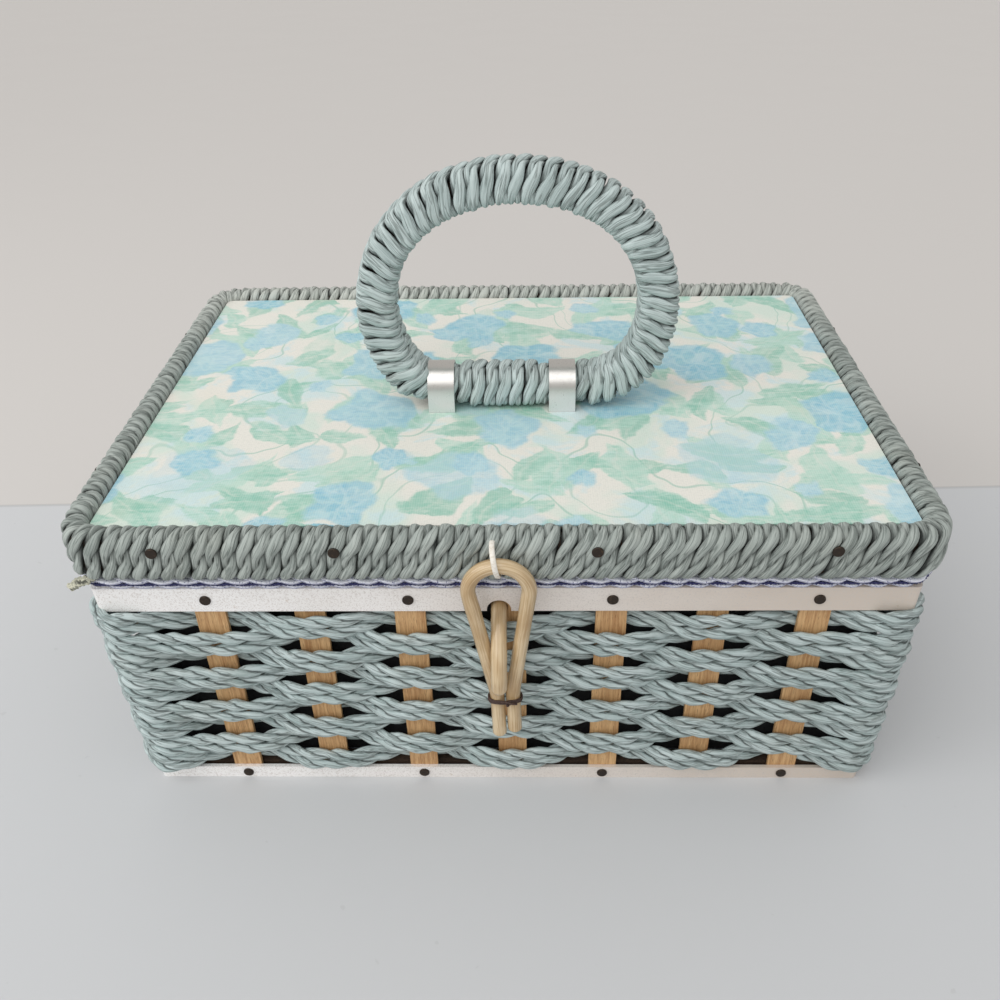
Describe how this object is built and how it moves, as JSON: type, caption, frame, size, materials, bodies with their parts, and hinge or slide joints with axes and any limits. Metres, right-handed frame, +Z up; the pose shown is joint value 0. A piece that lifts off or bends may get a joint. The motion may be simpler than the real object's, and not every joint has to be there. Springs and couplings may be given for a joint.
{
  "type": "woven sewing basket",
  "caption": "Rectangular lined sewing basket of woven cord on wooden staves, with a hinged lid, a folding ring handle on the lid and a loop-and-peg closure.",
  "frame": {"origin": "middle of the base, on its underside, where the basket stands", "axes": "+X to the right along the long walls, -Y out of the front, where the closure is, +Z up"},
  "size_m": [0.2786, 0.2202, 0.2023],
  "materials": {
    "base_board": "plain hardboard",
    "pearl_band": "pearl satin film",
    "rail_wood": "plain",
    "stave_wood": "bare splint",
    "weave_cord": "twisted paper cord",
    "satin": "padded satin",
    "braid": "metallic gimp braid",
    "nail_steel": "blued",
    "rim_cord": "twisted paper cord",
    "lid_wood": "plain plywood",
    "printed_vinyl": "printed cloth under clear vinyl",
    "hinge_wire": "drawn wire",
    "strap_metal": "satin",
    "core_wood": "plain",
    "handle_cord": "twisted paper cord",
    "rattan": "varnished rattan",
    "thread": "waxed thread",
    "lace_plastic": "extruded lace"
  },
  "bodies": {
    "basket": {"bottom_board": "base_board", "top_band_front": "pearl_band", "top_band_right": "pearl_band", "top_band_back": "pearl_band", "top_band_left": "pearl_band", "bottom_band_front": "pearl_band", "bottom_band_right": "pearl_band", "bottom_band_back": "pearl_band", "bottom_band_left": "pearl_band", "top_rail_front": "rail_wood", "top_rail_right": "rail_wood", "top_rail_back": "rail_wood", "top_rail_left": "rail_wood", "staves_front": "stave_wood", "staves_right": "stave_wood", "staves_back": "stave_wood", "staves_left": "stave_wood", "weave_course_1": "weave_cord", "weave_course_2": "weave_cord", "weave_course_3": "weave_cord", "weave_course_4": "weave_cord", "weave_course_5": "weave_cord", "weave_course_6": "weave_cord", "weave_course_7": "weave_cord", "weave_course_8": "weave_cord", "weave_course_9": "weave_cord", "lining_front": "satin", "lining_right": "satin", "lining_back": "satin", "lining_left": "satin", "lining_base_pad": "satin", "body_braid": "braid", "top_band_nails": "nail_steel", "bottom_band_nails": "nail_steel", "hinge_staple_left": "hinge_wire", "hinge_staple_right": "hinge_wire", "closure_peg": "rattan"},
    "lid": {"lid_board": "lid_wood", "lid_cover": "printed_vinyl", "lid_lining": "satin", "lid_braid": "braid", "lid_nails": "nail_steel", "hinge_eye_left": "hinge_wire", "hinge_eye_right": "hinge_wire", "handle_strap_left": "strap_metal", "handle_strap_right": "strap_metal", "loop_lace": "lace_plastic", "lid_wrap_front": "rim_cord", "lid_wrap_right": "rim_cord", "lid_wrap_back": "rim_cord", "lid_wrap_left": "rim_cord", "lid_rail_front": "rail_wood", "lid_rail_right": "rail_wood", "lid_rail_back": "rail_wood", "lid_rail_left": "rail_wood"},
    "handle": {"handle_core": "core_wood", "handle_wrap": "handle_cord"},
    "loop": {"closure_loop": "rattan", "loop_tie": "thread"}
  },
  "joints": [
    {"name": "lid_hinge", "type": "hinge", "parent": "basket", "child": "lid", "pos_m": [0, 0.1048, 0.096], "axis": [-1, 0, 0], "range_deg": [0, 105], "deforming": ["closure_peg"]},
    {"name": "handle_fold", "type": "hinge", "parent": "lid", "child": "handle", "pos_m": [0.0049, -0.0095, 0.12025], "axis": [1, 0, 0], "range_deg": [-88, 88]},
    {"name": "loop_swing", "type": "hinge", "parent": "lid", "child": "loop", "pos_m": [-0.0012, -0.1042, 0.10735], "axis": [-1, 0, 0], "range_deg": [0, 120]}
  ]
}
